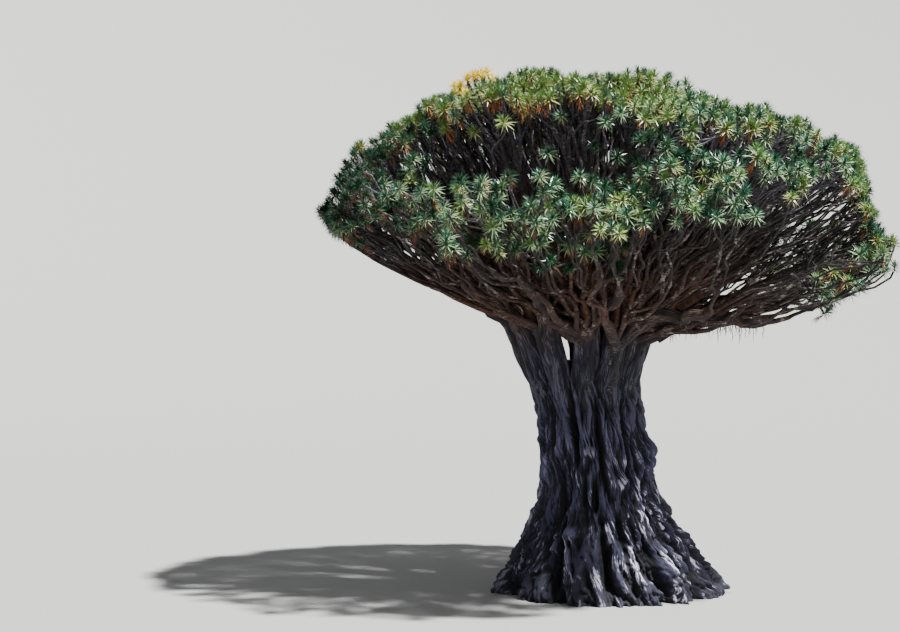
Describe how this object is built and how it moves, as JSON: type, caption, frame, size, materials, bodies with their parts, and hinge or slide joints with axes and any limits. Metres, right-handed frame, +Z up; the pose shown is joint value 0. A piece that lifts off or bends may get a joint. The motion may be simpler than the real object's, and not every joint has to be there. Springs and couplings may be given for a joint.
{
  "type": "dragon tree",
  "caption": "Very old dragon tree with a fluted, flaring trunk, bare forking boughs and an umbrella crown of sword-leaf rosettes.",
  "frame": {"origin": "middle of the flat cut at ground level, under the trunk, in line with the foot of its axis", "axes": "+Z up along the plumb line; +X to the right and -Y to the front of the view in which the trunk leans to the left"},
  "size_m": [19.1453, 18.9039, 16.8595],
  "materials": {
    "trunk_bark": "matte, deeply fluted and ridged grey bark with pale worn patches on the roots",
    "bough_bark": "matte grey to orange-brown bark, ringed by old leaf scars",
    "foliage": "waxy blue-green sword leaves in rosettes, with straw-coloured dry leaves under some"
  },
  "bodies": {
    "root": {"bough_rim_01": "bough_bark", "bough_rim_02": "bough_bark", "bough_rim_03": "bough_bark", "bough_rim_04": "bough_bark", "bough_rim_05": "bough_bark", "bough_rim_06": "bough_bark", "bough_rim_07": "bough_bark", "bough_rim_08": "bough_bark", "bough_rim_09": "bough_bark", "bough_rim_10": "bough_bark", "bough_rim_11": "bough_bark", "bough_rim_12": "bough_bark", "bough_shoulder_01": "bough_bark", "bough_shoulder_02": "bough_bark", "bough_shoulder_03": "bough_bark", "bough_shoulder_04": "bough_bark", "bough_shoulder_05": "bough_bark", "bough_shoulder_06": "bough_bark", "bough_top_01": "bough_bark", "bough_top_02": "bough_bark", "bough_top_03": "bough_bark", "foliage_rim_01": "foliage", "foliage_rim_02": "foliage", "foliage_rim_03": "foliage", "foliage_rim_04": "foliage", "foliage_rim_05": "foliage", "foliage_rim_06": "foliage", "foliage_rim_07": "foliage", "foliage_rim_08": "foliage", "foliage_rim_09": "foliage", "foliage_rim_10": "foliage", "foliage_rim_11": "foliage", "foliage_rim_12": "foliage", "foliage_shoulder_01": "foliage", "foliage_shoulder_02": "foliage", "foliage_shoulder_03": "foliage", "foliage_shoulder_04": "foliage", "foliage_shoulder_05": "foliage", "foliage_shoulder_06": "foliage", "foliage_top_01": "foliage", "foliage_top_02": "foliage", "foliage_top_03": "foliage", "trunk": "trunk_bark"}
  },
  "joints": []
}
